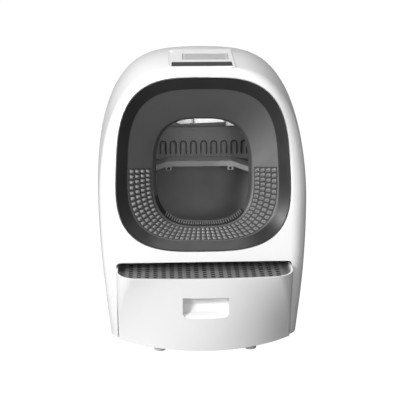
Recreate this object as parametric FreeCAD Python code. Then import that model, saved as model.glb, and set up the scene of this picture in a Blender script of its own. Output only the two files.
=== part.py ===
import FreeCAD, Part
import os, math
from FreeCAD import Vector as V, Placement, Rotation

os.makedirs("parts", exist_ok=True)

# ---------------------------------------------------------------- dimensions
# millimetres; +Z up, front of the object towards -Y, origin on the floor in
# the middle of the overall box
W_MAX = 490.0          # widest point of the housing
H_TOP = 628.0          # crown of the housing
Y_FRONT = -280.0       # foremost point, middle of the drawer front
Y_REAR = 280.0         # rearmost point, collar of the power inlet
Y_BACKWALL = 276.0     # outside of the rear wall
WALL = 3.2             # housing wall
LID_RISE = -2.7        # lid plane against the crown, at the lid's origin
TILT = 13.5            # lean of the front face, degrees
Y_CHEEK = -204.0       # vertical part of the front, beside the drawer
Z_BODY = 8.0           # lower edge of the housing
Y_SPLIT = 62.0         # joint between front and rear shell
R_EDGE = 34.0          # rounding of the front edge
R_BACK = 46.0          # rounding of the rear edge
YC, ZC = -150.0, 397.0 # centre of the collar on the front face

RING_X, RING_T, RING_B, RING_N = 193.0, 195.0, 191.0, 3.2   # collar outside
BEV_X, BEV_Y = 168.5, 169.5                                 # inside of bevel
OPN_X, OPN_Y, OPN_OFF = 111.5, 122.5, -16.5                 # entrance hole
Z_RIM, Z_BEV, Z_OPN, Z_THROAT = 1.5, -17.0, -46.0, -60.0    # depths along axis
THR_X, THR_T, THR_B = 105.0, 121.0, 112.0                   # throat behind the hole

DRUM_R, DRUM_T = 184.0, 3.0
DRUM_Z0, DRUM_ZS, DRUM_Z1 = -56.0, -170.0, -300.0
DRUM_MOUTH = 151.0
GEAR_M, GEAR_N, PIN_N = 4.0, 96, 12
GEAR_Z0, GEAR_Z1 = -92.0, -78.0
PIN_ANGLE = -30.0
ROLL_R, ROLL_W = 14.0, 16.0
ROLL_GAP = 0.3
ROLL_ANG = 40.0
ROLL_ZF, ROLL_ZR = -112.0, -210.0

DRAWER_HW = 194.5
DRAWER_TOP = 177.0
BAY_HW = 196.5
LIP_Z = 188.0
DRAWER_T = 3.5
DR_BOW0, DR_BOW1 = 303.0, 1600.0       # bow of the drawer front at foot and rim
DR_C0, DR_C1 = 6.0, 46.0               # its corner radius at foot and rim
DR_LEAN = 5.0                          # how far the rim stands back
TUB_HW = 186.0
TUB_Z0, TUB_ZR = 14.5, 112.0
STEP_BACK = -152.0
MESH_Z = 167.0

SA, CA = math.sin(math.radians(TILT)), math.cos(math.radians(TILT))
PL = Placement(V(0, YC, ZC), Rotation(V(1, 0, 0), 90.0 - TILT))

def place(s, p=PL):
    s = s.copy()
    s.Placement = p.multiply(s.Placement)
    return s

def box(x0, x1, y0, y1, z0, z1):
    return Part.makeBox(x1 - x0, y1 - y0, z1 - z0, V(x0, y0, z0))

def cyl(r, z0, z1, x=0, y=0):
    return Part.makeCylinder(r, z1 - z0, V(x, y, z0))

def prism(pts, a, b, axis="Z"):
    # closed polygon extruded from a to b along an axis
    if axis == "Z":
        w = [V(p[0], p[1], a) for p in pts]; d = V(0, 0, b - a)
    elif axis == "X":
        w = [V(a, p[0], p[1]) for p in pts]; d = V(b - a, 0, 0)
    else:
        w = [V(p[0], a, p[1]) for p in pts]; d = V(0, b - a, 0)
    return Part.Face(Part.makePolygon(w + [w[0]])).extrude(d)

def fuse(a, *more):
    s = a
    for m in more:
        s = s.fuse(m)
    return s.removeSplitter()

OUT = {}
def keep(name, s):
    if isinstance(s, list):
        s = Part.makeCompound(s)
    OUT[name] = s

# ---------------------------------------------------------------- housing
# half width at each height, taken at the widest station along the depth
ARCH = [(8, 226), (50, 230.5), (110, 236.5), (171, 241), (230, 244), (293, 245),
        (340, 244.3), (380, 241.5), (415, 237.5), (450, 231.5), (488, 221.5),
        (527, 207), (560, 188.5), (585, 169), (604, 147), (617, 122.5),
        (626, 93), (631, 55), (633, 0)]
# station along the depth: Y, width factor, crown height
STATIONS = [(-250.0, 0.905, 571.0), (-100.0, 0.968, 604.5), (45.0, 1.0, H_TOP),
            (165.0, 0.985, 609.0), (276.0, 0.93, 566.0)]

def section(y, kw, top, inset, zb):
    pts = []
    for z, hw in ARCH:
        zz = z if z <= 300 else 300 + (z - 300) * (top - inset - 300) / (633.0 - 300)
        if z == 8:
            zz = zb
        k = max(0.0, hw * kw - inset) if hw > 0 else 0.0
        pts.append((k, zz))
    right = [V(x, y, z) for x, z in pts]
    left = [V(-x, y, z) for x, z in pts[:-1]][::-1]
    c = Part.BSplineCurve()
    c.interpolate(right + left)
    e = c.toShape()
    return Part.Wire([e, Part.makeLine(left[-1], right[0])])

def front_profile(off):
    # the wedge in front of the front face, in Y and Z
    yc = Y_CHEEK + off
    k = SA / CA
    # tilted line through the collar centre, moved inwards
    y0 = YC + off / CA
    line_y = lambda z: y0 + (z - ZC) * k
    zi = ZC + (yc - y0) / k
    T = 30.0
    a = V(0, yc, zi - T)
    b = V(0, line_y(zi + T * CA), zi + T * CA)
    hb = math.radians(TILT) / 2
    R = T / math.tan(hb)
    cen = V(0, yc + R, zi - T)
    m = V(0, cen.y - R * math.cos(hb), cen.z + R * math.sin(hb))
    top = V(0, line_y(760), 760)
    edges = [Part.makeLine(V(0, yc, -60), a), Part.Arc(a, m, b).toShape(),
             Part.makeLine(b, top), Part.makeLine(top, V(0, -330, 760)),
             Part.makeLine(V(0, -330, 760), V(0, -330, -60)),
             Part.makeLine(V(0, -330, -60), V(0, yc, -60))]
    f = Part.Face(Part.Wire(edges))
    f.translate(V(-320, 0, 0))
    return f.extrude(V(640, 0, 0))

def body(inset, zb):
    st = [(y if y < 270 else y - inset, kw, top) for y, kw, top in STATIONS]
    s = Part.makeLoft([section(y, kw, top, inset, zb) for y, kw, top in st], True, False)
    if s.Volume < 0:
        s.reverse()
    s = s.cut(front_profile(inset))
    def pick(test):
        return [e for e in s.Edges if test(e)]
    yb = Y_BACKWALL - inset
    back = pick(lambda e: abs(e.BoundBox.YMin - yb) < 0.5 and abs(e.BoundBox.YMax - yb) < 0.5
                and e.BoundBox.ZMax > 300)
    s = s.makeFillet(R_BACK - inset * 0.8, back)
    front = []
    for e in s.Edges:
        bb = e.BoundBox
        if bb.XMax - bb.XMin > 600:
            continue
        n = 0
        p = e.valueAt(0.5 * (e.FirstParameter + e.LastParameter))
        k = SA / CA
        y0 = YC + inset / CA
        on_tilt = abs(p.y - (y0 + (p.z - ZC) * k)) < 0.6
        on_vert = abs(p.y - (Y_CHEEK + inset)) < 0.6 or (110 < p.z < 205 and p.y < Y_CHEEK + inset + 8)
        if (on_tilt or on_vert) and abs(p.x) > 60 and p.z > zb + 3:
            front.append(e)
        elif on_tilt and p.z > 560:
            front.append(e)
    s = s.makeFillet(R_EDGE - inset * 0.8, front)
    return s

outer = body(0.0, Z_BODY)
inner = body(WALL, Z_BODY - 25)
print("outer", outer.isValid(), round(outer.Volume), outer.BoundBox)
print("inner", inner.isValid(), round(inner.Volume))
shell = outer.cut(inner)
print("shell", shell.isValid(), round(shell.Volume), len(shell.Solids))

# superellipse wires, drawn in the tilted frame of the collar
def ring_wire(ax, bt, bb, n, z, off=0.0, cy=0.0, taper=0.0, count=72):
    pts = []
    for i in range(count):
        th = 2 * math.pi * (i + 0.5) / count
        c, s = math.cos(th), math.sin(th)
        r = (abs(c) ** n + abs(s) ** n) ** (-1.0 / n)
        x, y = ax * r * c, (bt if s > 0 else bb) * r * s
        if off:
            # outward normal of the curve
            nx = abs(c * r) ** (n - 1) * (1 if c > 0 else -1) / ax
            ny = abs(s * r) ** (n - 1) * (1 if s > 0 else -1) / (bt if s > 0 else bb)
            q = math.hypot(nx, ny)
            x += off * nx / q; y += off * ny / q
        x *= 1 - taper * y
        pts.append(V(x, y + cy, z))
    c = Part.BSplineCurve()
    c.interpolate(pts, PeriodicFlag=True)
    return Part.Wire([c.toShape()])

def loft(*w):
    s = Part.makeLoft(list(w), True, True)
    if s.Volume < 0:
        s.reverse()
    return s

TP = 0.00025
def R0(z, off=0.0): return ring_wire(RING_X, RING_T, RING_B, RING_N, z, off, taper=TP)
def R1(z, off=0.0): return ring_wire(BEV_X, BEV_Y, BEV_Y, 3.2, z, off, taper=TP)
def R2(z, off=0.0): return ring_wire(OPN_X, OPN_Y, OPN_Y, 3.0, z, off, cy=OPN_OFF)
def R3(z, off=0.0): return ring_wire(THR_X, THR_T, THR_B, 3.0, z, off, cy=OPN_OFF)

CT = 3.0    # collar wall
collar_out = fuse(loft(R0(Z_RIM), R0(-9.0)),
                  loft(R0(-9.0, 0.0), R1(Z_BEV - 4.0, CT)),
                  loft(R1(Z_BEV - 4.0, CT), R2(Z_OPN - 3.5, CT)),
                  loft(R2(Z_OPN - 3.5, CT), R3(Z_THROAT, CT)),
                  loft(R0(-4.6, 5.0), R0(-7.6, 5.0)).common(box(-110, 110, -260, 260, -20, 5)))
collar_in = fuse(loft(R0(Z_RIM + 6, 3.0), R0(Z_RIM, -2.0)),
                 loft(R0(Z_RIM, -2.0), R1(Z_BEV)),
                 loft(R1(Z_BEV), R2(Z_OPN)),
                 loft(R2(Z_OPN), R3(Z_THROAT - 1)))
collar = collar_out.cut(collar_in)
print("collar", collar.isValid(), round(collar.Volume), len(collar.Solids))
keep("entrance_collar", place(collar))

# studded band: the lower part of the funnel, 3 mm thick, on the funnel face
def mix(t, z, off=0.0):
    # wire between the bevel edge (t=0) and the hole (t=1) on the funnel face
    ax = BEV_X + (OPN_X - BEV_X) * t
    b = BEV_Y + (OPN_Y - BEV_Y) * t
    cy = OPN_OFF * t
    return ring_wire(ax, b, b, 3.2 - 0.2 * t, z, off, cy=cy, taper=TP * (1 - t))
T0, T1 = 0.03, 0.965
zf = lambda t: Z_BEV + (Z_OPN - Z_BEV) * t
band = loft(mix(T0, zf(T0) + 0.2), mix(T1, zf(T1) + 0.2))
band_lo = loft(mix(T0, zf(T0) + 0.2), mix(T0, zf(T0) + 3.2))
up = fuse(loft(mix(T0, zf(T0) + 0.15), mix(T1, zf(T1) + 0.15)))
# a shell between two copies of the funnel face
def sheet_between(dz0, dz1):
    a = Part.makeLoft([mix(T0, zf(T0) + dz0), mix(T1, zf(T1) + dz0)], False, True)
    b = Part.makeLoft([mix(T0, zf(T0) + dz1), mix(T1, zf(T1) + dz1)], False, True)
    c = Part.makeLoft([mix(T0, zf(T0) + dz0), mix(T0, zf(T0) + dz1)], False, True)
    d = Part.makeLoft([mix(T1, zf(T1) + dz0), mix(T1, zf(T1) + dz1)], False, True)
    sh = Part.makeShell(a.Faces + b.Faces + c.Faces + d.Faces)
    sh.sewShape()
    s = Part.makeSolid(sh)
    if s.Volume < 0:
        s.reverse()
    return s
band = sheet_between(0.2, 3.4)
band = band.cut(box(-260, 260, -8.0, 260, -80, 40))
print("band", band.isValid(), round(band.Volume), len(band.Solids))
keep("stud_band", place(band))

# entrance hole in the front shell, 1 mm larger than the collar
hole = place(loft(R0(60, 1.0), R0(-2.2, 1.0), R0(-40, 1.0)))
shell = shell.cut(hole)

# drawer bay through the front
bay = box(-BAY_HW, BAY_HW, -330, -150, -40, LIP_Z)
bay = bay.makeFillet(9.0, [e for e in bay.Edges if abs(e.BoundBox.ZMin - LIP_Z) < 0.1
                           and e.BoundBox.YMax - e.BoundBox.YMin > 100] +
                     [e for e in bay.Edges if False])
shell = shell.cut(bay)
print("shell2", shell.isValid(), round(shell.Volume), len(shell.Solids))

# ---------------------------------------------------------------- top panel
def crown(y):
    l = outer.common(Part.makeLine(V(0, y, 520), V(0, y, 760)))
    return l.BoundBox.ZMax
TOP_ANG = 10.3                          # slope of the flat lid, degrees
PANEL_Y0, PANEL_Y1 = -31.0, 86.0        # front and rear edge, from the lid's origin
PT = Placement(V(0, -58.0, crown(-58.0) + LID_RISE), Rotation(V(1, 0, 0), TOP_ANG))
print("crown", [round(crown(y), 2) for y in (-90.0, -58.0, -20.0, 0.0, 20.0, 34.0, 55.0)], "lid", PT.Base, PT.multVec(V(0, PANEL_Y1, 0)))
STRIP_Y0, STRIP_Y1 = -27.0, 0.5
POCKET = (-43.0, 62.0, 14.5, 60.5)     # x0, x1, y0, y1 in the lid's frame
LT = 3.2
def lid_prism(g, z0, z1, r=6.0):
    q = prism([(-75.5 - g, PANEL_Y0 - g), (75.5 + g, PANEL_Y0 - g), (70.5 + g, PANEL_Y1 + g), (-70.5 - g, PANEL_Y1 + g)], z0, z1)
    return q.makeFillet(r + g, [e for e in q.Edges if e.BoundBox.ZLength > abs(z1 - z0) - .01 and e.BoundBox.YLength < .01])
shell = shell.cut(place(lid_prism(0.5, -26, 14), PT))
top_plate = lid_prism(0.0, -LT, 0.0)
top_plate = top_plate.makeFillet(1.3, [e for e in top_plate.Edges if e.BoundBox.ZMin > -.01])
skirt = lid_prism(0.0, -11.0, -LT + .5).cut(lid_prism(-2.4, -12.0, 1.0))
top_plate = fuse(top_plate, skirt)
lens_rec = prism([(-68.6, STRIP_Y0), (68.6, STRIP_Y0), (67.4, STRIP_Y1), (-67.4, STRIP_Y1)], -1.7, 4)
lens = prism([(-68.3, STRIP_Y0 + .3), (68.3, STRIP_Y0 + .3), (67.1, STRIP_Y1 - .3), (-67.1, STRIP_Y1 - .3)], -1.6, -0.1)
keep("display_lens", place(lens, PT))
top_plate = top_plate.cut(lens_rec)
x0, x1, y0, y1 = POCKET
top_plate = top_plate.cut(box(x0, x1, y0, y1, -14, 14))
well = box(x0 - 2, x1 + 2, y0 - 2, y1 + 2, -20, -LT + .5).cut(box(x0, x1, y0, y1, -18, 5))
top_plate = fuse(top_plate, well)
# finger notch at the left rear corner
top_plate = top_plate.cut(box(-78, -64, 60, 75, -1.7, 10))
top_plate = place(top_plate, PT)
print("top_plate", top_plate.isValid(), len(top_plate.Solids))
keep("top_plate", top_plate)
cart = box(x0 + 0.6, x1 - 0.6, y0 + 0.6, y1 - 0.6, -17.8, -1.2)
cart = cart.cut(box(x0 + 8, x1 - 8, y0 + 5, y0 + 12, -7, 3))
for i in range(4):
    cart = cart.cut(box(x0 + 8, x1 - 8, y0 + 17 + 6.5 * i, y0 + 20 + 6.5 * i, -5, 3))
keep("deodoriser_cartridge", place(cart, PT))
brd = fuse(box(-64, 64, -26, -2, -9.0, -7.4), box(-60, -52, -21, -8, -7.4, -6.2), box(-6, 6, -18, -10, -7.4, -6.4))
keep("display_board", place(brd, PT))

# ---------------------------------------------------------------- split shells
cutter_f = box(-320, 320, -330, Y_SPLIT - 0.25, -60, 760)
cutter_r = box(-320, 320, Y_SPLIT + 0.25, 330, -60, 760)
front_shell = shell.common(cutter_f)
rear_shell = shell.common(cutter_r)
COVER = (-132.0, 132.0, 84.0, 352.0)
cx0, cx1, cz0, cz1 = COVER
rear_shell = rear_shell.cut(box(cx0, cx1, 262, 290, cz0, cz1))
frame_r = box(cx0 - 8, cx1 + 8, 269.3, 273.2, cz0 - 8, cz1 + 8).cut(box(cx0 + 6, cx1 - 6, 260, 290, cz0 + 6, cz1 - 6))
rear_shell = fuse(rear_shell, frame_r, box(-5, 5, 262, 273.2, 372, 520),
                  box(-74, -68, 264, 273.2, 372, 500), box(68, 74, 264, 273.2, 372, 500))
rear_shell = rear_shell.cut(box(cx0, cx1, 272.75, 290, cz0, cz1))
INLET = (112.0, 46.0)
rear_shell = rear_shell.cut(Part.makeCylinder(7.2, 40, V(INLET[0], 260, INLET[1]), V(0, 1, 0)))
scr = [(-122, 94), (122, 94), (-122, 342), (122, 342)]
cover = box(cx0 + .4, cx1 - .4, 272.8, 275.8, cz0 + .4, cz1 - .4)
slots = [box(-60, 60, 270, 280, 120 + 9 * i, 123.5 + 9 * i) for i in range(8)]
cover = cover.cut(Part.makeCompound(slots))
scs = []
for x, z in scr:
    h = Part.makeCylinder(3.6, 2.2, V(x, 273.5, z), V(0, 1, 0))
    cover = cover.cut(Part.makeCylinder(3.9, 4, V(x, 273.4, z), V(0, 1, 0)))
    cover = cover.cut(Part.makeCylinder(2.2, 14, V(x, 262, z), V(0, 1, 0)))
    rear_shell = rear_shell.cut(Part.makeCylinder(1.75, 14, V(x, 262, z), V(0, 1, 0)))
    s = Part.makeCylinder(1.7, 12, V(x, 262.5, z), V(0, 1, 0)).fuse(h)
    s = s.cut(box(x - 2.6, x + 2.6, 274.6, 277, z - .5, z + .5)).cut(box(x - .5, x + .5, 274.6, 277, z - 2.6, z + 2.6))
    scs.append(s.removeSplitter())
keep("rear_cover", cover)
keep("cover_screws", scs)
keep("rear_shell", rear_shell)
print("rear_shell", rear_shell.isValid(), len(rear_shell.Solids), "front", front_shell.isValid(), len(front_shell.Solids))
il = Part.makeCylinder(7.0, 17.9, V(INLET[0], 262, INLET[1]), V(0, 1, 0))
il = il.fuse(Part.makeCylinder(9.5, 3.9, V(INLET[0], 276.1, INLET[1]), V(0, 1, 0)))
il = il.cut(Part.makeCylinder(3.2, 12, V(INLET[0], 270, INLET[1]), V(0, 1, 0)))
il = il.fuse(Part.makeCylinder(1.0, 14, V(INLET[0], 264, INLET[1]), V(0, 1, 0))).removeSplitter()
keep("dc_inlet", il)

# ---------------------------------------------------------------- base
w = inner.slice(V(0, 0, 1), 9.0)[0]
pts = [V(p.x * (1 - 0.7 / p.Length), p.y * (1 - 0.7 / p.Length), 6.0) for p in w.discretize(90)[:-1]]
base = Part.Face(Part.makePolygon(pts + [pts[0]])).extrude(V(0, 0, 4.0))
apron = cyl(DR_BOW0 - 6.5, 6, 10, 0, Y_FRONT + DR_BOW0).common(box(-182, 182, -330, -185, 0, 20))
base = fuse(base, apron)
for sx in (-1, 1):
    # side walls that carry the deck, and bosses for the base screws
    base = fuse(base, box(min(sx * 189, sx * 192), max(sx * 189, sx * 192), -140, 228, 9, 122))
    for yy in (-120, 200):
        base = fuse(base, cyl(6, 9, 16, sx * 200, yy))
BS = [(sx * 200, yy) for sx in (-1, 1) for yy in (-120, 200)]
bscr = []
for x, y in BS:
    base = base.cut(cyl(2.0, 0, 20, x, y)).cut(cyl(3.8, 0, 7.6, x, y))
    s = cyl(1.9, 7, 15.5, x, y).fuse(cyl(3.6, 6.4, 7.6, x, y)).removeSplitter()
    bscr.append(s)
keep("base_pan", base)
keep("base_screws", bscr)
FEET = [(-101, -245), (101, -245), (-150, 190), (150, 190)]
keep("feet", [cyl(15, 0, 6, x, y).fuse(cyl(11.5, 0.0, 5.9, x, y)).makeFillet(1.5, [e for e in cyl(15, 0, 6, x, y).Edges if False]) if False else
              Part.makeCone(13.5, 15, 6, V(x, y, 0)) for x, y in FEET])
rails = [box(sx * 150 - 6, sx * 150 + 6, -200, 215, 10, 14) for sx in (-1, 1)]
keep("drawer_rails", rails)
deck = box(-192, 192, -140, 228, 122, 125).cut(box(-100, 100, 92, 200, 100, 140))
deck = fuse(deck, box(-102, 102, 90, 92, 118, 140), box(-102, 102, 200, 202, 118, 150),
            box(-102, -100, 90, 202, 118, 140), box(100, 102, 90, 202, 118, 140))

# ---------------------------------------------------------------- drawer
def dr_par(z):
    # bow radius, foremost Y, half width and corner radius at a height
    t = (z - Z_BODY - .5) / (DRAWER_TOP - Z_BODY - .5)
    u = max(0.0, t) ** 1.7
    k = (1 - u) / DR_BOW0 + u / DR_BOW1
    return 1.0 / k, Y_FRONT + DR_LEAN * u, DRAWER_HW + 1.5 * u, DR_C0 + (DR_C1 - DR_C0) * u

def dr_points(z, off, hw=None):
    R, yf, h, rc = dr_par(z)
    R -= off; yf += off
    rc = max(rc - off, 2.0)
    h = h - off if hw is None else hw
    cy = yf + R
    yc = cy - math.sqrt((R - rc) ** 2 - (h - rc) ** 2)
    tx = (h - rc) * R / (R - rc)
    ty = cy - math.sqrt(R * R - tx * tx)
    d = V(tx - (h - rc) + rc, ty - yc, 0); d.normalize()
    m = V(h - rc, yc, 0) + d * rc
    return yf, h, yc, tx, ty, m

def dr_wire(z, off, yback, hw=None, zz=None):
    yf, h, yc, tx, ty, m = dr_points(z, off, hw)
    z = z if zz is None else zz
    e = [Part.Arc(V(-tx, ty, z), V(0, yf, z), V(tx, ty, z)).toShape(),
         Part.Arc(V(tx, ty, z), V(m.x, m.y, z), V(h, yc, z)).toShape(),
         Part.makeLine(V(h, yc, z), V(h, yback, z)), Part.makeLine(V(h, yback, z), V(-h, yback, z)),
         Part.makeLine(V(-h, yback, z), V(-h, yc, z)),
         Part.Arc(V(-h, yc, z), V(-m.x, m.y, z), V(-tx, ty, z)).toShape()]
    return Part.Wire(e)

def dr_loft(off, yback, z0, z1, hw=None, n=6):
    zs = [z0 + (z1 - z0) * i / (n - 1.0) for i in range(n)]
    s = Part.makeLoft([dr_wire(z, off, yback, hw) for z in zs], True, False)
    if s.Volume < 0:
        s.reverse()
    return s

def dr_inside(x, y, z, off):
    yf, h, yc, tx, ty, m = dr_points(z, off)
    if abs(x) > h:
        return False
    R, yff, hh, rc = dr_par(z)
    R -= off; rc = max(rc - off, 2.0)
    if abs(x) <= tx:
        return y > yf + R - math.sqrt(R * R - x * x)
    return y > yc - math.sqrt(max(0.0, rc * rc - (abs(x) - (h - rc)) ** 2))

skin = dr_loft(0.0, -165.0, Z_BODY + .5, DRAWER_TOP)
skin = skin.cut(dr_loft(DRAWER_T, -150.0, Z_BODY - 1, DRAWER_TOP + 4))
GX, GZ0, GZ1 = 50.5, 85.0, 133.0
def pocket(g, yfront):
    p = prism([(yfront, GZ0 - g), (-279.0, GZ0 - g), (-262 + g, GZ0 + 10 - g), (-254 + g, GZ0 + 26 - g),
               (-253 + g, GZ1 + g), (yfront, GZ1 + g)], -GX - g, GX + g, "X")
    ed = [e for e in p.Edges if e.BoundBox.XMax - e.BoundBox.XMin < .01 and
          e.BoundBox.ZMax < GZ0 + 12 and e.BoundBox.YMax < -261 + g + 1 and e.Length > 5]
    return p
cav = pocket(0, -300)
rc = box(-GX, GX, -330, -240, GZ0, GZ1 + 20)
rc = rc.makeFillet(13.0, [e for e in rc.Edges if abs(e.BoundBox.ZMax - GZ0) < .1 and e.BoundBox.YMax - e.BoundBox.YMin > 50])
cav = cav.common(rc)
cup = pocket(2.6, -300.0).common(dr_loft(1.2, -200.0, 60.0, 150.0))
drawer_front = skin.fuse(cup).cut(cav).cut(box(-200, 200, Y_CHEEK + 0.9, -150, 0, 12.0))
print("drawer_front", drawer_front.isValid(), len(drawer_front.Solids))
keep("drawer_front", drawer_front)
TG = DRAWER_T + 0.3
o1 = dr_loft(TG, STEP_BACK, TUB_Z0, 164.0, TUB_HW)
o2 = box(-TUB_HW, TUB_HW, STEP_BACK - 1, 214, TUB_Z0, TUB_ZR)
i1 = dr_loft(TG + 2.5, STEP_BACK - 2.5, TUB_Z0 + 2.5, 172.0, TUB_HW - 2.5)
i2 = box(-TUB_HW + 2.5, TUB_HW - 2.5, STEP_BACK - 4, 211.5, TUB_Z0 + 2.5, TUB_ZR)
i2b = box(-TUB_HW + 2.5, TUB_HW - 2.5, STEP_BACK, 211.5, TUB_ZR - 1, 300)
tub = o1.fuse(o2).cut(i1).cut(i2).cut(i2b)
tub = tub.cut(pocket(2.9, -290)).removeSplitter()
print("tub", tub.isValid(), len(tub.Solids))
keep("drawer_tub", tub)
mesh = dr_loft(DRAWER_T + .4, STEP_BACK, 164.2, MESH_Z, None, 2)
holes = []
MX, MY = 18.2, 12.6
for i in range(-9, 10):
    for j in range(10):
        x, y = i * MX, -160.0 - j * MY
        if dr_inside(abs(x) + 4, y - 3.0, 164.2, DRAWER_T + 4.0):
            holes.append(box(x - 4, x + 4, y - 2.2, y + 2.2, 160, 172))
mesh = mesh.cut(Part.makeCompound(holes))
print("mesh", mesh.isValid(), len(mesh.Solids), len(holes))
keep("step_mesh", mesh)

# ---------------------------------------------------------------- drum
def ring_solid(prof):
    pts = [V(r, 0, z) for r, z in prof]
    return Part.Face(Part.makePolygon(pts + [pts[0]])).revolve(V(0, 0, 0), V(0, 0, 1), 360)
r, t = DRUM_R, DRUM_T
dfs = ring_solid([(DRUM_MOUTH, DRUM_Z0), (r - 6, DRUM_Z0), (r, DRUM_Z0 - 6), (r, DRUM_ZS),
                  (r - t, DRUM_ZS), (r - t, DRUM_Z0 - t - 2), (r - t - 4, DRUM_Z0 - t), (DRUM_MOUTH, DRUM_Z0 - t)])
keep("drum_front_shell", place(dfs))
RB = 70.0
def dome(r, z1, rb, z0):
    # cup with a large corner radius, solid
    a = V(0, 0, z1); b = V(r - rb, 0, z1)
    m = V(r - rb + rb * math.sin(math.pi / 4), 0, z1 + rb - rb * math.cos(math.pi / 4)); c = V(r, 0, z1 + rb)
    d = V(r, 0, z0); e = V(0, 0, z0)
    w = Part.Wire([Part.makeLine(a, b), Part.Arc(b, m, c).toShape(), Part.makeLine(c, d), Part.makeLine(d, e), Part.makeLine(e, a)])
    return Part.Face(w).revolve(V(0, 0, 0), V(0, 0, 1), 360)
drs = dome(r, DRUM_Z1, RB, DRUM_ZS).cut(dome(r - t, DRUM_Z1 + t, RB - t, DRUM_ZS + 5))
# locating lip inside the joint of the two drum shells
lip = ring_solid([(r - t - 0.1, DRUM_ZS + 8), (r - t - 0.1, DRUM_ZS - 12), (r - t - 2.6, DRUM_ZS - 12), (r - t - 2.6, DRUM_ZS + 8)])
drs = drs.fuse(ring_solid([(r - t + 1, DRUM_ZS - 0.0), (r - t + 1, DRUM_ZS - 12), (r - t - 2.6, DRUM_ZS - 12), (r - t - 2.6, DRUM_ZS + 8), (r - t - .1, DRUM_ZS + 8), (r - t - .1, DRUM_ZS)]))
PORT = prism([(-62, 102), (-44, 94.5), (70, 98.5), (70, 89), (98, 89), (98, 150), (70, 164), (-40, 168), (-62, 158)], -340, -225)
drs = drs.cut(PORT).removeSplitter()
print("drum rear", drs.isValid(), len(drs.Solids))
keep("drum_rear_shell", place(drs))
# shelf across the rear of the drum: level when the drum stands at rest
LED = [(-180, -46), (-80, -9), (80, -9), (180, -46), (180, -33), (78, 3.3), (-78, 3.3), (-180, -33)]
LD = 54.0
led = Part.Face(Part.makePolygon([V(x, y, -214) for x, y in LED + [LED[0]]])).extrude(V(0, LD * SA / CA, -LD))
for sx in (-1, 1):
    led = led.fuse(box(min(sx * 68, sx * 82), max(sx * 68, sx * 82), -18.5, -6, -224, -214))
led = led.removeSplitter()
led = led.cut(drs).cut(cyl(400, -400, 0).cut(cyl(r - t - .05, -401, 1)))
led = max(led.Solids, key=lambda s: s.Volume)
CS = [(-75, -14), (75, -14)]
lscr = []
for x, y in CS:
    led = led.cut(cyl(3.7, -216, -210, x, y)).cut(cyl(1.6, -240, -210, x, y))
    s = cyl(3.6, -215.8, -214.4, x, y).fuse(cyl(1.5, -222, -215, x, y)).cut(box(x - 2.4, x + 2.4, y - .45, y + .45, -215.2, -214)).removeSplitter()
    lscr.append(s)
comb = box(-136, 136, 8.0, 86, -266, -262)
comb = comb.makeFillet(14, [e for e in comb.Edges if abs(abs(e.BoundBox.XMin) - 136) < .1 and abs(e.BoundBox.YMin - 86) < .1 and e.BoundBox.ZLength > 2])
AP, AW, AR = 24.9, 5.6, 2.8             # arch pitch, half width inside, rim width
cuts, rims = [], []
for i in range(-5, 5):
    x = (i + 0.5) * AP
    a = box(x - AW, x + AW, 18, 45, -264.2, -250).fuse(cyl(AW, -264.2, -250, x, 45))
    b = box(x - AW - AR, x + AW + AR, 20.5, 45, -262.5, -258.5).fuse(cyl(AW + AR, -262.5, -258.5, x, 45))
    rims.append(b.removeSplitter()); cuts.append(a.removeSplitter())
comb = fuse(comb, *rims).cut(Part.makeCompound(cuts)).removeSplitter()
comb = fuse(comb, box(-126, -123, 22, 70, -292, -263), box(123, 126, 22, 70, -292, -263)).cut(drs).cut(led)
comb = max(comb.Solids, key=lambda s: s.Volume)
print("comb", comb.isValid(), len(comb.Solids), "ledge", led.isValid(), len(led.Solids))
keep("sieve_comb", place(comb))
keep("sieve_ledge", place(led))
keep("ledge_screws", [place(s) for s in lscr])

# involute gear teeth
def gear(n, m, z0, z1, bore, add=0.8, ded=1.1, thin=0.35, phase=0.0):
    pa = math.radians(20)
    rp = m * n / 2.0; rb = rp * math.cos(pa); ra = rp + add * m; rr = rp - ded * m
    inv = lambda a: math.tan(a) - a
    half = math.pi / (2 * n) - thin / (2 * rp)       # half tooth angle on pitch circle
    pts = []
    def ang(rad):
        if rad <= rb: return half + inv(pa)
        return half + inv(pa) - inv(math.acos(rb / rad))
    radii = [rr] + [max(rr, min(rb, ra)) + (ra - max(rr, min(rb, ra))) * k / 4.0 for k in range(5)]
    for i in range(n):
        c = 2 * math.pi * i / n + phase
        for rad in radii:
            a = c - ang(rad); pts.append((rad * math.cos(a), rad * math.sin(a)))
        for rad in radii[::-1]:
            a = c + ang(rad); pts.append((rad * math.cos(a), rad * math.sin(a)))
    q = [pts[0]]
    for p in pts[1:]:
        if math.hypot(p[0] - q[-1][0], p[1] - q[-1][1]) > 1e-4: q.append(p)
    return prism(q, z0, z1).cut(cyl(bore, z0 - 1, z1 + 1))
PA = math.radians(PIN_ANGLE)
CD = GEAR_M * (GEAR_N + PIN_N) / 2.0 + 0.25
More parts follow.
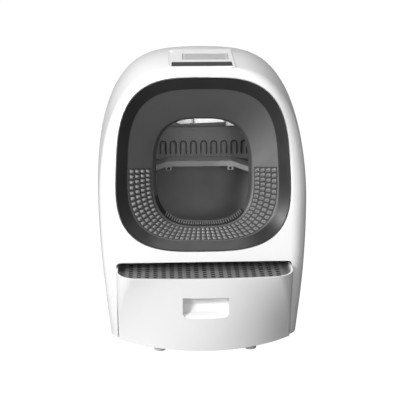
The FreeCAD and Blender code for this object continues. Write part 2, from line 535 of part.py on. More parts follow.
# a tooth of the wheel points at the pinion, a gap of the pinion faces it
g1 = gear(GEAR_N, GEAR_M, GEAR_Z0, GEAR_Z1, DRUM_R + 0.05, phase=PA)
g2 = gear(PIN_N, GEAR_M, GEAR_Z0 - 1, GEAR_Z1 + 1, 4.0, phase=PA + math.pi + math.pi / PIN_N)
g2.translate(V(CD * math.cos(PA), CD * math.sin(PA), 0))
PX, PY = CD * math.cos(PA), CD * math.sin(PA)
keep("ring_gear", place(g1))
keep("drive_pinion", place(g2))
keep("output_shaft", place(cyl(3.95, -112, GEAR_Z1 + 4, PX, PY)))
mot = cyl(27, -165, -99.2, PX, PY).fuse(cyl(18, -205, -165, PX, PY)).cut(cyl(4.05, -114, -90, PX, PY)).removeSplitter()
keep("gear_motor", place(mot))
below = box(-400, 400, -400, 400, -300, 125.0)
br = cyl(30, -99, -96, PX, PY).fuse(box(PX - 16, PX + 22, PY - 200, PY, -99, -96)).cut(cyl(6.2, -120, -80, PX, PY))
brg = place(br).cut(below)
MSC = [(PX, PY + 21.5), (PX, PY - 21.5)]
msc = []
for x, y in MSC:
    s = cyl(1.45, -106, -95, x, y).fuse(cyl(3, -96, -94.2, x, y)).removeSplitter()
    msc.append(place(s))
    brg = brg.cut(place(cyl(1.6, -110, -90, x, y)))
    mot = mot.cut(cyl(1.6, -107, -90, x, y))
keep("gear_motor", place(mot))
foot = box(PX - 16, PX + 20, brg.BoundBox.YMin - 8, brg.BoundBox.YMin + 22, 125.0, 128.0)
brg = brg.fuse(foot).removeSplitter()
keep("motor_bracket", brg)
keep("motor_screws", msc)
deck = deck.fuse(box(188, 214, foot.BoundBox.YMin - 4, foot.BoundBox.YMax + 4, 122, 125)).removeSplitter()

# support rollers, their axles and brackets
axles, ROLLERS, brk = [], [], []
cr = DRUM_R + ROLL_R + ROLL_GAP
i = 0
for sx in (-1, 1):
    for zc in (ROLL_ZF, ROLL_ZR):
        i += 1
        x = sx * cr * math.sin(math.radians(ROLL_ANG)); y = -cr * math.cos(math.radians(ROLL_ANG))
        ro = cyl(ROLL_R, zc - ROLL_W / 2, zc + ROLL_W / 2, x, y)
        ro = ro.makeFillet(1.2, [e for e in ro.Edges if abs(e.Length - 2 * math.pi * ROLL_R) < .5])
        ro = ro.cut(cyl(3.05, zc - 20, zc + 20, x, y))
        # one small mark hole keeps a roller's turn visible
        ro = ro.cut(cyl(1.5, zc - 20, zc + 20, x + 8.2, y))
        keep("support_roller_%d" % i, place(ro))
        ROLLERS.append((x, y, zc))
        axles.append(place(cyl(3.0, zc - ROLL_W / 2 - 6, zc + ROLL_W / 2 + 6, x, y)))
        fk = []
        for s in (-1, 1):
            za = zc + s * (ROLL_W / 2 + 0.6) + (0 if s > 0 else -3)
            p = cyl(8, za, za + 3, x, y).fuse(box(x - 12, x + 12, y - 140, y, za, za + 3))
            p = p.cut(cyl(3.02, za - 1, za + 4, x, y))
            fk.append(place(p).cut(below))
        f = fk[0].fuse(fk[1])
        ya = YC + ((125 - ZC) * SA - (zc + ROLL_W / 2 + 3.6)) / CA
        yb = YC + ((125 - ZC) * SA - (zc - ROLL_W / 2 - 3.6)) / CA
        f = f.fuse(box(x - 12, x + 12, ya - 4, yb + 4, 125.0, 128.0))
        brk.append(f.removeSplitter())
keep("roller_axles", axles)
keep("roller_brackets", brk)
# magnet on the drum and the sensor post below it
mag = box(-5, 5, -DRUM_R - 3.6, -DRUM_R + 3, -155, -145).cut(cyl(DRUM_R + .02, -400, 0))
keep("home_magnet", place(mag))
post = box(-8, 8, -62, -46, 125, 168).fuse(box(-14, 14, -66, -42, 125, 128)).removeSplitter()
keep("home_sensor", post)
keep("deck", deck)
# soft ring that closes the gap between collar and drum
seal = ring_solid([(152.5, -55.4), (160, -55.4), (160, -51.0), (152.5, -51.0)])
seal = seal.cut(collar_out)
print("seal", seal.isValid(), len(seal.Solids))
keep("collar_seal", place(seal))
ps = fuse(box(-16, 16, 176, 196, -40, -28), cyl(5, -28.5, -24, 0, 186))
keep("presence_sensor", place(ps))
mb = fuse(box(-92, 92, 262.0, 263.6, 150, 262), box(-60, -36, 252, 262.1, 170, 196), box(10, 44, 256, 262.1, 210, 238), box(60, 84, 250, 262.1, 160, 176))
mb = mb.cut(Part.makeCompound([Part.makeCylinder(1.8, 10, V(x, 258, z), V(0, 1, 0)) for x in (-86, 86) for z in (156, 256)]))
keep("main_board", mb)
keep("board_screws", [Part.makeCylinder(1.7, 7.6, V(x, 261.8, z), V(0, 1, 0)).fuse(Part.makeCylinder(3, 1.4, V(x, 260.6, z), V(0, 1, 0))).removeSplitter() for x in (-86, 86) for z in (156, 256)])

# short leads, straight runs joined by tangent arcs
def tube(pts, rad):
    P = [V(*p) for p in pts]
    edges = []; prev = P[0]
    for k in range(1, len(P) - 1):
        a, b, c = P[k - 1], P[k], P[k + 1]
        u = (a - b); v = (c - b); lu, lv = u.Length, v.Length
        u.normalize(); v.normalize()
        th = math.pi - u.getAngle(v)
        rr = 0.42 * min(lu, lv) / math.tan(th / 2)
        T = rr * math.tan(th / 2)
        p1 = b + u * T; p2 = b + v * T
        bis = (u + v); bis.normalize()
        cen = b + bis * (rr / math.cos(th / 2))
        mid = cen - bis * rr
        edges.append(Part.makeLine(prev, p1)); edges.append(Part.Arc(p1, mid, p2).toShape())
        prev = p2
        print("  radius", round(rr, 1))
    edges.append(Part.makeLine(prev, P[-1]))
    w = Part.Wire(edges)
    d = P[1] - P[0]; d.normalize()
    c = Part.Wire([Part.makeCircle(rad, P[0], d)])
    s = w.makePipeShell([c], True, False)
    print("  tube", s.isValid(), round(s.Volume / (math.pi * rad * rad * w.Length), 4))
    return s
mo = PL.multVec(V(PX, PY, -205.2))
keep("motor_harness", tube([(mo.x, mo.y, mo.z), (mo.x, mo.y + 36, mo.z - 8), (mo.x - 20, mo.y + 68, mo.z - 20), (120, 190, 170), (90, 225, 158), (72, 248.6, 160)], 2.0))
for k, s in OUT.items():
    ok = all(x.isValid() for x in s.Solids) and s.Volume > 0
    if not ok or len(s.Solids) == 0:
        print("BAD", k, s.isValid(), len(s.Solids), s.Volume)
keep("front_shell", front_shell)
tot = None
for k, s in OUT.items():
    s.exportStep("parts/%s.step" % k)
allc = Part.makeCompound(list(OUT.values()))
bb = allc.optimalBoundingBox(False)
print("BOX", [round(v, 2) for v in (bb.XMin, bb.XMax, bb.YMin, bb.YMax, bb.ZMin, bb.ZMax)], len(OUT), "nodes")
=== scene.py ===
import bpy, bmesh, math
import numpy as np
from mathutils import Vector, Matrix, Euler


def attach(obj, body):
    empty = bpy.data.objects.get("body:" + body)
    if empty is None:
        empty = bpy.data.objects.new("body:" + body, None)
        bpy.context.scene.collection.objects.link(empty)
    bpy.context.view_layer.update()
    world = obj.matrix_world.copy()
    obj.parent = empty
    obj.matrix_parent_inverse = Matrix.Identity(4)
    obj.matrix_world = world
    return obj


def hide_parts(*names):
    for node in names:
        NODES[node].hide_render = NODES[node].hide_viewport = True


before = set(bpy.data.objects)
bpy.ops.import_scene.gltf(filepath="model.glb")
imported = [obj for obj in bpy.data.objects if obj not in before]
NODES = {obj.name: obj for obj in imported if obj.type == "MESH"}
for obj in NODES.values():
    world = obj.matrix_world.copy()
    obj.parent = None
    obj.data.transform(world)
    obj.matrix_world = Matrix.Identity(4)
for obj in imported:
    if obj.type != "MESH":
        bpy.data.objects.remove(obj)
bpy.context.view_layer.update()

scene = bpy.context.scene

# ------------------------------------------------------------------ camera
F_PX = 1000.0
PITCH, YAW, ROLL = 17.57, 2.39, 0.02
CT = (-0.0013, -2.2853, 0.9935)
cam_data = bpy.data.cameras.new("view_camera")
cam_data.sensor_width = 36.0
cam_data.lens = F_PX / 400.0 * 36.0
cam = bpy.data.objects.new("view_camera", cam_data)
scene.collection.objects.link(cam)
rz = Matrix.Rotation(math.radians(-YAW), 4, "Z")
cam.matrix_world = (rz @ Matrix.Translation(CT) @ Matrix.Rotation(math.radians(90 - PITCH), 4, "X")
                    @ Matrix.Rotation(math.radians(-ROLL), 4, "Z"))
cam_data.clip_end = 50
scene.camera = cam

# ------------------------------------------------------------------ light
scene.view_settings.view_transform = "Standard"
world = bpy.data.worlds.new("studio")
scene.world = world
world.use_nodes = True
bg = world.node_tree.nodes["Background"]
bg.inputs[0].default_value = (1, 1, 1, 1)
# the backdrop shows white; as a lamp it stays weak
wn = world.node_tree
wl = wn.nodes.new("ShaderNodeLightPath")
wm = wn.nodes.new("ShaderNodeMath")
wm.operation = "MULTIPLY_ADD"
wm.inputs[1].default_value = 0.96
wm.inputs[2].default_value = 0.09
wn.links.new(wl.outputs["Is Camera Ray"], wm.inputs[0])
wn.links.new(wm.outputs[0], bg.inputs[1])


def area(name, loc, target, size, power, color=(1, 1, 1), size_y=None):
    d = bpy.data.lights.new(name, "AREA")
    d.energy = power
    d.color = color
    d.shape = "RECTANGLE"
    d.size = size
    d.size_y = size_y or size
    o = bpy.data.objects.new(name, d)
    o.location = loc
    o.rotation_euler = (Vector(target) - Vector(loc)).to_track_quat("-Z", "Y").to_euler()
    scene.collection.objects.link(o)
    return o


area("key_left", (-2.45, -2.05, 1.7), (0, -0.1, 0.36), 0.75, 101)
for lamp in (area("low_left", (-1.9, -2.0, 0.22), (0.05, -0.15, 0.42), 0.6, 13),
             area("back_soft", (0.5, 3.2, 0.8), (0, 0, 0.35), 1.4, 30)):
    lamp.visible_glossy = False
area("fill_front", (-0.9, -3.6, 1.5), (0, 0, 0.32), 1.4, 16)
area("top_soft", (0.2, -0.3, 2.7), (0, 0, 0.5), 1.4, 28)
area("right_soft", (2.3, -1.0, 2.4), (0, 0, 0.5), 1.2, 5)
area("drum_glow", (0.25, -1.25, 0.62), (0, 0.1, 0.33), 0.22, 2.6)
# two small lamps set inside: under the roof of the drum, and in the gap behind it
for lamp in (area("cabin_roof", (0.0, -0.01, 0.47), (0.0, 0.09, 0.30), 0.10, 0.08),
             area("rear_gap", (0.03, 0.205, 0.485), (0.03, 0.28, 0.40), 0.05, 0.2)):
    lamp.visible_camera = False
    lamp.visible_glossy = False

# ------------------------------------------------------------------ materials
MATS = {}


def plastic(name, c0, c1, rough=0.4, rough_var=0.06, grain=0.0004, grain_scale=900.0,
            blotch=9.0, coat=0.0, spec=0.5, subsurf=0.0, coat_rough=0.15, edge=None, metallic=0.0):
    """Moulded plastic: slow tone drift, fine moulded grain, uneven gloss."""
    m = bpy.data.materials.new(name)
    m.use_nodes = True
    nt = m.node_tree
    b = nt.nodes["Principled BSDF"]
    tc = nt.nodes.new("ShaderNodeTexCoord")
    n1 = nt.nodes.new("ShaderNodeTexNoise")
    n1.inputs["Scale"].default_value = blotch
    n1.inputs["Detail"].default_value = 3.0
    r1 = nt.nodes.new("ShaderNodeValToRGB")
    r1.color_ramp.elements[0].position = 0.3
    r1.color_ramp.elements[1].position = 0.7
    r1.color_ramp.elements[0].color = (*c0, 1)
    r1.color_ramp.elements[1].color = (*c1, 1)
    nt.links.new(tc.outputs["Object"], n1.inputs["Vector"])
    nt.links.new(n1.outputs["Fac"], r1.inputs["Fac"])
    nt.links.new(r1.outputs["Color"], b.inputs["Base Color"])
    n2 = nt.nodes.new("ShaderNodeTexNoise")
    n2.inputs["Scale"].default_value = 42.0
    n2.inputs["Detail"].default_value = 4.0
    mr = nt.nodes.new("ShaderNodeMapRange")
    mr.inputs["From Min"].default_value = 0.3
    mr.inputs["From Max"].default_value = 0.7
    mr.inputs["To Min"].default_value = rough - rough_var
    mr.inputs["To Max"].default_value = rough + rough_var
    nt.links.new(tc.outputs["Object"], n2.inputs["Vector"])
    nt.links.new(n2.outputs["Fac"], mr.inputs["Value"])
    nt.links.new(mr.outputs["Result"], b.inputs["Roughness"])
    n3 = nt.nodes.new("ShaderNodeTexNoise")
    n3.inputs["Scale"].default_value = grain_scale
    n3.inputs["Detail"].default_value = 2.0
    bp = nt.nodes.new("ShaderNodeBump")
    bp.inputs["Strength"].default_value = 0.6
    bp.inputs["Distance"].default_value = grain
    nt.links.new(tc.outputs["Object"], n3.inputs["Vector"])
    nt.links.new(n3.outputs["Fac"], bp.inputs["Height"])
    nt.links.new(bp.outputs["Normal"], b.inputs["Normal"])
    b.inputs["Specular IOR Level"].default_value = spec
    b.inputs["Coat Weight"].default_value = coat
    b.inputs["Coat Roughness"].default_value = coat_rough
    b.inputs["Metallic"].default_value = metallic
    if subsurf:
        b.inputs["Subsurface Weight"].default_value = subsurf
        b.inputs["Subsurface Radius"].default_value = (0.004, 0.004, 0.004)
    MATS[name] = m
    return m


plastic("white_abs", (0.80, 0.80, 0.802), (0.825, 0.825, 0.826), rough=0.36, rough_var=0.05, grain=0.00008, grain_scale=1400, coat=0.12)
plastic("white_panel", (0.83, 0.83, 0.832), (0.85, 0.85, 0.85), rough=0.33, grain=0.00006, grain_scale=1400, coat=0.2)
plastic("dark_drum", (0.205, 0.205, 0.208), (0.23, 0.23, 0.233), rough=0.55, rough_var=0.08, grain=0.0002, grain_scale=1100, spec=0.4)
plastic("collar_dark", (0.050, 0.050, 0.052), (0.060, 0.060, 0.062), rough=0.5, rough_var=0.05, grain=0.00012, grain_scale=1300, spec=0.8)
# the bevel's darker base colour is painted shade; its lower roughness and coat are its gloss
plastic("collar_bevel_painted_shade", (0.022, 0.022, 0.023), (0.028, 0.028, 0.029), rough=0.34, rough_var=0.04, grain=0.00008, grain_scale=1300, spec=0.26, coat=0.04, coat_rough=0.3)
plastic("throat_dark", (0.012, 0.012, 0.0125), (0.017, 0.017, 0.0175), rough=0.4, rough_var=0.05, grain=0.0001, grain_scale=1300, spec=0.4)
plastic("rib_dark", (0.10, 0.10, 0.101), (0.12, 0.12, 0.121), rough=0.4, rough_var=0.05, grain=0.0001, grain_scale=1300, spec=0.5)
plastic("mat_dark", (0.042, 0.042, 0.043), (0.052, 0.052, 0.053), rough=0.6, rough_var=0.08, grain=0.0003, grain_scale=1300, spec=0.2)
# the studs' grey, far lighter than the collar's, is painted light for their bright lit facets
plastic("stud_rubber_painted_light", (0.21, 0.21, 0.212), (0.245, 0.245, 0.247), rough=0.36, rough_var=0.05, grain=0.0001, grain_scale=1300, spec=0.6)
plastic("comb_dark", (0.15, 0.15, 0.153), (0.175, 0.175, 0.178), rough=0.5, grain=0.00015, grain_scale=1200, spec=0.4)
plastic("ledge_grey", (0.27, 0.27, 0.273), (0.31, 0.31, 0.313), rough=0.42, grain=0.0001, grain_scale=1200)
plastic("mesh_grey", (0.135, 0.135, 0.137), (0.165, 0.165, 0.167), rough=0.5, rough_var=0.08, grain=0.0003, grain_scale=700)
plastic("tub_dark", (0.05, 0.05, 0.051), (0.07, 0.07, 0.071), rough=0.55, rough_var=0.08, grain=0.0003, grain_scale=700)
plastic("lens_black", (0.055, 0.055, 0.057), (0.075, 0.075, 0.077), rough=0.16, rough_var=0.03, grain=0.00001, coat=0.6, spec=0.5)
plastic("cartridge_grey", (0.50, 0.50, 0.502), (0.56, 0.56, 0.562), rough=0.5, grain=0.0002, grain_scale=900)
plastic("rubber_grey", (0.52, 0.52, 0.52), (0.60, 0.60, 0.60), rough=0.7, grain=0.0004, grain_scale=800, spec=0.3)
plastic("rubber_black", (0.02, 0.02, 0.02), (0.035, 0.035, 0.035), rough=0.65, grain=0.0003, grain_scale=800, spec=0.3)
plastic("frame_grey", (0.36, 0.36, 0.365), (0.42, 0.42, 0.425), rough=0.5, grain=0.0003, grain_scale=700)
plastic("nylon", (0.72, 0.71, 0.68), (0.80, 0.79, 0.76), rough=0.42, grain=0.0001, grain_scale=900)
plastic("steel_zinc", (0.50, 0.50, 0.51), (0.62, 0.62, 0.63), rough=0.3, rough_var=0.1, grain=0.00005, grain_scale=600, metallic=1.0)
plastic("screw_black", (0.015, 0.015, 0.015), (0.03, 0.03, 0.03), rough=0.5, rough_var=0.1, grain=0.00005, grain_scale=600)
plastic("motor_can", (0.42, 0.42, 0.44), (0.50, 0.50, 0.52), rough=0.34, rough_var=0.08, grain=0.00005, grain_scale=500, metallic=0.9)
plastic("board_green", (0.02, 0.12, 0.06), (0.03, 0.17, 0.085), rough=0.35, grain=0.00012, grain_scale=350, coat=0.3)
plastic("black_part", (0.02, 0.02, 0.021), (0.032, 0.032, 0.033), rough=0.4, grain=0.0001)



def depth_tone(name, depth, edge, above, below):
    """Multiply the base colour by one of two tones, split at a depth along a fixed direction."""
    m = MATS[name]
    nt = m.node_tree
    b = nt.nodes["Principled BSDF"]
    src = b.inputs["Base Color"].links[0].from_socket
    geo = nt.nodes.new("ShaderNodeNewGeometry")
    dot = nt.nodes.new("ShaderNodeVectorMath")
    dot.operation = "DOT_PRODUCT"
    dot.inputs[1].default_value = depth
    nt.links.new(geo.outputs["Position"], dot.inputs[0])
    mr = nt.nodes.new("ShaderNodeMapRange")
    mr.inputs["From Min"].default_value = edge - 0.00008
    mr.inputs["From Max"].default_value = edge + 0.00008
    mr.inputs["To Min"].default_value = below
    mr.inputs["To Max"].default_value = above
    nt.links.new(dot.outputs["Value"], mr.inputs["Value"])
    mix = nt.nodes.new("ShaderNodeVectorMath")
    mix.operation = "SCALE"
    nt.links.new(src, mix.inputs[0])
    nt.links.new(mr.outputs["Result"], mix.inputs["Scale"])
    nt.links.new(mix.outputs["Vector"], b.inputs["Base Color"])


# painted shade: the walls of the holes in the pierced sheet are darkened below a set height; comb: the ribs round its
# arches are darkened in front of a set depth, painted shade
depth_tone("mesh_grey", (0, 0, 1), 0.16680, 1.0, 0.03)
depth_tone("comb_dark", (0, -0.97237, 0.23345), -0.02338, 0.14, 1.0)

# painted shade: soft darker bands along the rows of holes in the pierced sheet, the sheet a little lighter between them
nt = MATS["mesh_grey"].node_tree
b = nt.nodes["Principled BSDF"]
src = b.inputs["Base Color"].links[0].from_socket
geo = nt.nodes.new("ShaderNodeNewGeometry")
sep = nt.nodes.new("ShaderNodeSeparateXYZ")
nt.links.new(geo.outputs["Position"], sep.inputs[0])
m1 = nt.nodes.new("ShaderNodeMath")
m1.operation = "MULTIPLY"
m1.inputs[1].default_value = 1 / 0.0182
nt.links.new(sep.outputs["X"], m1.inputs[0])
m2 = nt.nodes.new("ShaderNodeMath")
m2.operation = "PINGPONG"
m2.inputs[1].default_value = 0.5
nt.links.new(m1.outputs[0], m2.inputs[0])
mr = nt.nodes.new("ShaderNodeMapRange")
mr.inputs["From Min"].default_value = 0.22
mr.inputs["From Max"].default_value = 0.36
mr.inputs["To Min"].default_value = 0.72
mr.inputs["To Max"].default_value = 1.15
nt.links.new(m2.outputs[0], mr.inputs["Value"])
sc = nt.nodes.new("ShaderNodeVectorMath")
sc.operation = "SCALE"
nt.links.new(src, sc.inputs[0])
nt.links.new(mr.outputs["Result"], sc.inputs["Scale"])
nt.links.new(sc.outputs["Vector"], b.inputs["Base Color"])

NODE_MAT = {
    "front_shell": "white_abs", "rear_shell": "white_abs", "drawer_front": "white_abs",
    "rear_cover": "white_abs", "drawer_tub": "tub_dark", "base_pan": "white_abs", "top_plate": "white_panel",
    "drum_front_shell": "dark_drum", "drum_rear_shell": "dark_drum", "entrance_collar": "collar_dark",
    "stud_band": "mat_dark", "ledge_screws": "screw_black", "sieve_comb": "comb_dark", "sieve_ledge": "ledge_grey", "step_mesh": "mesh_grey",
    "display_lens": "lens_black", "deodoriser_cartridge": "cartridge_grey", "feet": "rubber_grey",
    "collar_seal": "rubber_black", "motor_harness": "rubber_black", "deck": "frame_grey",
    "drawer_rails": "frame_grey", "roller_brackets": "frame_grey", "gear_motor": "motor_can",
    "main_board": "board_green", "display_board": "board_green", "dc_inlet": "black_part",
    "home_sensor": "black_part", "presence_sensor": "black_part", "ring_gear": "nylon", "drive_pinion": "nylon",
}
for n, o in NODES.items():
    mat = NODE_MAT.get(n)
    if mat is None:
        mat = "nylon" if n.startswith("support_roller") else "steel_zinc"
    o.data.materials.clear()
    o.data.materials.append(MATS[mat])

# ------------------------------------------------------------------ geometry of the tilted collar frame
TILT = math.radians(13.5)
SA, CA = math.sin(TILT), math.cos(TILT)
YC, ZC = -150.0, 397.0


def tilted(P):
    """millimetres in the collar's frame to metres in the row frame"""
    P = np.asarray(P, float)
    x, y, z = P[..., 0], P[..., 1], P[..., 2]
    return np.stack([x, YC + y * SA - z * CA, ZC + y * CA + z * SA], -1) / 1000.0


RING = dict(ax=193.0, bt=195.0, bb=191.0, n=3.2, cy=0.0, tp=0.00025)
BEV = dict(ax=168.5, bt=169.5, bb=169.5, n=3.2, cy=0.0, tp=0.00025)
OPN = dict(ax=111.5, bt=122.5, bb=122.5, n=3.0, cy=-16.5, tp=0.0)
THR = dict(ax=105.0, bt=121.0, bb=112.0, n=3.0, cy=-16.5, tp=0.0)
Z_RIM, Z_BEV, Z_OPN, Z_THR = 1.5, -17.0, -46.0, -60.0


def ring(p, z, th, off=0.0):
    c, s = np.cos(th), np.sin(th)
    n = p["n"]
    r = (np.abs(c) ** n + np.abs(s) ** n) ** (-1.0 / n)
    b = np.where(s > 0, p["bt"], p["bb"])
    x, y = p["ax"] * r * c, b * r * s
    if off:
        nx = np.abs(c * r) ** (n - 1) * np.sign(c) / p["ax"]
        ny = np.abs(s * r) ** (n - 1) * np.sign(s) / b
        q = np.hypot(nx, ny)
        x = x + off * nx / q
        y = y + off * ny / q
    x = x * (1 - p["tp"] * y)
    return np.stack([x, y + p["cy"], np.full_like(x, z)], -1)


def new_object(name, verts, faces, mat, body, replaces=(), smooth=True):
    me = bpy.data.meshes.new(name)
    me.from_pydata([tuple(map(float, v)) for v in verts], [], [tuple(map(int, f)) for f in faces])
    me.validate()
    bm = bmesh.new()
    bm.from_mesh(me)
    bmesh.ops.remove_doubles(bm, verts=bm.verts, dist=1e-7)
    bmesh.ops.recalc_face_normals(bm, faces=bm.faces)
    bm.to_mesh(me)
    bm.free()
    if smooth:
        for p in me.polygons:
            p.use_smooth = True
    me.materials.append(MATS[mat])
    o = bpy.data.objects.new(name, me)
    scene.collection.objects.link(o)
    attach(o, body)
    if replaces:
        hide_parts(*replaces)
    return o


def revolve_rings(keys, radii, th, closed=True, seg=5):
    """rings through key curves, with each key corner rounded by its radius; also where each ring stands on the path"""
    out, pos = [], []
    K = len(keys)
    for i in range(K):
        C = keys[i]
        if not closed and i in (0, K - 1) or radii[i] <= 0:
            out.append(C)
            pos.append(float(i))
            continue
        A, B = keys[(i - 1) % K], keys[(i + 1) % K]
        la = np.linalg.norm(A - C, axis=1, keepdims=True)
        lb = np.linalg.norm(B - C, axis=1, keepdims=True)
        ra = np.minimum(radii[i], la * 0.45)
        rb = np.minimum(radii[i], lb * 0.45)
        E0, E1 = C + (A - C) / la * ra, C + (B - C) / lb * rb
        for u in np.linspace(0, 1, seg):
            out.append((1 - u) ** 2 * E0 + 2 * u * (1 - u) * C + u * u * E1)
            pos.append(i + (u - 0.5) * 0.2)
    return out, pos


def skin_rings(rings, closed_path=True):
    R, N = len(rings), len(rings[0])
    verts = np.vstack(rings)
    faces = []
    for i in range(R if closed_path else R - 1):
        j = (i + 1) % R
        for k in range(N):
            k2 = (k + 1) % N
            faces.append((i * N + k, i * N + k2, j * N + k2, j * N + k))
    return verts, faces


NT = 320
TH = 2 * np.pi * (np.arange(NT) + 0.5) / NT
# ---- collar: skirt, rim, bevel, funnel, throat, and the back of the wall
mid = dict(ax=(BEV["ax"] + OPN["ax"]) / 2, bt=(BEV["bt"] + OPN["bt"]) / 2, bb=(BEV["bb"] + OPN["bb"]) / 2, n=3.1,
           cy=OPN["cy"] / 2, tp=0.000125)
keys = [ring(RING, -7.0, TH, -0.8), ring(RING, Z_RIM, TH, -0.8), ring(BEV, Z_BEV, TH), ring(mid, (Z_BEV + Z_OPN) / 2, TH),
        ring(OPN, Z_OPN, TH), ring(THR, Z_THR, TH), ring(THR, Z_THR, TH, 2.4), ring(OPN, Z_OPN - 3.0, TH, 2.8),
        ring(BEV, Z_BEV - 3.4, TH, 2.6)]
radii = [0, 1.6, 3.6, 0, 3.2, 1.0, 0.8, 0, 0]
path, pos = revolve_rings(keys, radii, TH, True, 7)
v, f = skin_rings(path)
collar = new_object("collar_moulding", tilted(v), f, "collar_dark", "housing", ("entrance_collar",))
# second material: the bevel band, its darker base colour painted shade
collar.data.materials.append(MATS["collar_bevel_painted_shade"])
collar.data.materials.append(MATS["throat_dark"])
ring_z = [float(q[0][2]) for q in path]
owner = {}
for i in range(len(path)):
    m = 0.5 * (pos[i] + pos[(i + 1) % len(path)]) if i + 1 < len(path) else 8.5
    owner[i] = 1 if m < 2.0 else (2 if 4.0 < m < 7.0 else 0)
# faces come in path order, NT to each strip
if len(collar.data.polygons) == len(path) * NT:
    for k, p in enumerate(collar.data.polygons):
        a = math.degrees(TH[k % NT]) % 360
        # bevel faces take the bevel material (darker base colour, painted shade); throat faces take the near-black
        # throat material on the lower arc only, 204 to 318 degrees
        p.material_index = owner[k // NT] if owner[k // NT] != 2 or 204 < a < 318 else 0
else:
    raise RuntimeError("collar faces out of order")


# ---- studs on the lower half of the funnel
def funnel(th, t, up=0.0):
    """point on the funnel face: t=0 at the bevel, t=1 at the hole; up lifts it off the face"""
    a = ring(BEV, Z_BEV, np.atleast_1d(th))
    b = ring(OPN, Z_OPN, np.atleast_1d(th))
    p = a + (b - a) * np.asarray(t).reshape(-1, 1)
    if up:
        e = 1e-3
        a2, b2 = ring(BEV, Z_BEV, np.atleast_1d(th) + e), ring(OPN, Z_OPN, np.atleast_1d(th) + e)
        du = (a2 + (b2 - a2) * np.asarray(t).reshape(-1, 1)) - p
        dv = b - a
        nrm = np.cross(du, dv)
        nrm /= np.linalg.norm(nrm, axis=1, keepdims=True)
        nrm *= np.sign(nrm[:, 2:3])
        p = p + nrm * up
    return p


def arc_thetas(t, th0, th1, count):
    th = np.linspace(th0, th1, 2000)
    p = funnel(th, np.full_like(th, t))
    s = np.r_[0, np.cumsum(np.linalg.norm(np.diff(p, axis=0), axis=1))]
    return np.interp(np.linspace(0, s[-1], count), s, th)


def theta_at_height(t, y, right):
    th = np.linspace(-np.pi / 2, 0.3, 4000) if right else np.linspace(np.pi - 0.3, 1.5 * np.pi, 4000)
    p = funnel(th, np.full_like(th, t))
    return th[np.argmin(np.abs(p[:, 1] - y))]


N_COL = 45
T_ROWS = (0.165, 0.375, 0.585, 0.795)
Y_START = -12.5
verts, faces = [], []
grid = []
for t in T_ROWS:
    a = theta_at_height(t, Y_START, False)
    b = theta_at_height(t, Y_START, True) + 2 * np.pi
    grid.append(arc_thetas(t, a, b, N_COL))
grid = np.array(grid)
# thin mat under the studs: a sheet with its own edge
NM = 260
ta, tb = 0.055, 0.905
mats_t = np.linspace(ta, tb, 5)
rows_v = []
for t in mats_t:
    a = theta_at_height(t, Y_START + 7.5, False)
    b = theta_at_height(t, Y_START + 7.5, True) + 2 * np.pi
    rows_v.append(arc_thetas(t, a, b, NM))
for lvl in (0.12, 0.75):
    for t, ths in zip(mats_t, rows_v):
        verts.extend(funnel(ths, np.full(NM, t), lvl))
R5 = len(mats_t)


def mid_idx(l, r, k):
    return (l * R5 + r) * NM + k


for r in range(R5 - 1):
    for k in range(NM - 1):
        faces.append((mid_idx(0, r, k), mid_idx(0, r, k + 1), mid_idx(0, r + 1, k + 1), mid_idx(0, r + 1, k)))
        faces.append((mid_idx(1, r, k), mid_idx(1, r + 1, k), mid_idx(1, r + 1, k + 1), mid_idx(1, r, k + 1)))
for k in range(NM - 1):
    for r in (0, R5 - 1):
        faces.append((mid_idx(0, r, k), mid_idx(0, r, k + 1), mid_idx(1, r, k + 1), mid_idx(1, r, k)))
for r in range(R5 - 1):
    for k in (0, NM - 1):
        faces.append((mid_idx(0, r, k), mid_idx(0, r + 1, k), mid_idx(1, r + 1, k), mid_idx(1, r, k)))
mat_obj = new_object("stud_mat", tilted(np.array(verts)), faces, "mat_dark", "housing", ("stud_band",), smooth=False)

verts, faces = [], []
H_STUD = 5.4
CORNERS = tuple(math.radians(45 + 90 * i + d) for i in range(4) for d in (-9, 9))
N_SIDE = len(CORNERS)
PROFILE = ((0.5, 0.90), (0.8, 0.84), (0.5 + 0.30 * H_STUD, 0.46), (H_STUD - 0.3, 0.08), (H_STUD, 0.03))
for r, t in enumerate(T_ROWS):
    ths = grid[r]
    dt = 0.088
    for k, th in enumerate(ths):
        dth = (ths[min(k + 1, N_COL - 1)] - ths[max(k - 1, 0)]) / (2 if 0 < k < N_COL - 1 else 1) * 0.37
        base = len(verts)
        for lvl, sc in PROFILE:
            for q in range(N_SIDE):
                c, d = math.cos(CORNERS[q]), math.sin(CORNERS[q])
                g = 1.0 / max(abs(c), abs(d))
                verts.append(funnel(np.array([th + g * c * dth * sc]), np.array([t + g * d * dt * sc]), lvl)[0])
        L = len(PROFILE)
        for l in range(L - 1):
            for q in range(N_SIDE):
                a, b = base + N_SIDE * l + q, base + N_SIDE * l + (q + 1) % N_SIDE
                faces.append((a, b, b + N_SIDE, a + N_SIDE))
        faces.append(tuple(base + N_SIDE * (L - 1) + q for q in range(N_SIDE)))
        faces.append(tuple(base + N_SIDE - 1 - q for q in range(N_SIDE)))
# studs carry the lighter grey: painted light for their lit facets
studs = new_object("paw_studs", tilted(np.array(verts)), faces, "stud_rubber_painted_light", "housing", smooth=False)

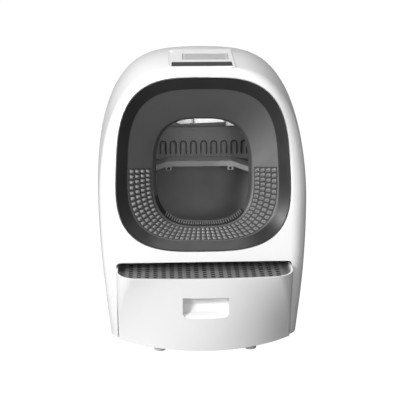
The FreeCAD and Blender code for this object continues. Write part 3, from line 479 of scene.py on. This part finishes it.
# ---- fine ribs inside the lower lip of the throat
verts, faces = [], []
ths = np.linspace(math.radians(226), math.radians(316), 34)
for th in ths:
    d = 0.0105
    base = len(verts)
    A = np.array([th - d, th + d])
    o0, o1 = ring(OPN, Z_OPN - 2.4, A, 0.3), ring(THR, Z_THR + 1.2, A, 0.3)
    i0, i1 = ring(OPN, Z_OPN - 2.4, A, -0.9), ring(THR, Z_THR + 1.2, A, -1.9)
    for q in (o0[0], o0[1], o1[1], o1[0], i0[0], i0[1], i1[1], i1[0]):
        verts.append(q)
    for fc in ((0, 1, 2, 3), (4, 7, 6, 5), (0, 4, 5, 1), (1, 5, 6, 2), (2, 6, 7, 3), (3, 7, 4, 0)):
        faces.append(tuple(base + i for i in fc))
new_object("throat_ribs", tilted(np.array(verts)), faces, "rib_dark", "housing", smooth=False)

# ------------------------------------------------------------------ floor
bm = bmesh.new()
bmesh.ops.create_grid(bm, x_segments=40, y_segments=40, size=30.0)
me = bpy.data.meshes.new("studio_floor")
bm.to_mesh(me)
bm.free()
fl = bpy.data.materials.new("floor_pale")
fl.use_nodes = True
ft = fl.node_tree
fb = ft.nodes["Principled BSDF"]
fn = ft.nodes.new("ShaderNodeTexNoise")
fn.inputs["Scale"].default_value = 3.0
fr = ft.nodes.new("ShaderNodeValToRGB")
fr.color_ramp.elements[0].color = (0.15, 0.15, 0.15, 1)
fr.color_ramp.elements[1].color = (0.17, 0.17, 0.17, 1)
ft.links.new(fn.outputs["Fac"], fr.inputs["Fac"])
ft.links.new(fr.outputs["Color"], fb.inputs["Base Color"])
fb.inputs["Roughness"].default_value = 0.9
fb.inputs["Specular IOR Level"].default_value = 0.1
fe = ft.nodes.new("ShaderNodeEmission")
fe.inputs["Color"].default_value = (1, 1, 1, 1)
fe.inputs["Strength"].default_value = 1.16
lp = ft.nodes.new("ShaderNodeLightPath")
lm = ft.nodes.new("ShaderNodeMath")
lm.operation = "MULTIPLY"
lm.inputs[1].default_value = 0.9
mx = ft.nodes.new("ShaderNodeMixShader")
ft.links.new(lp.outputs["Is Camera Ray"], lm.inputs[0])
ft.links.new(lm.outputs[0], mx.inputs[0])
ft.links.new(fb.outputs[0], mx.inputs[1])
ft.links.new(fe.outputs[0], mx.inputs[2])
ft.links.new(mx.outputs[0], ft.nodes["Material Output"].inputs["Surface"])
me.materials.append(fl)
floor = bpy.data.objects.new("studio_floor", me)
scene.collection.objects.link(floor)
floor.location = (0, 0, -0.0005)
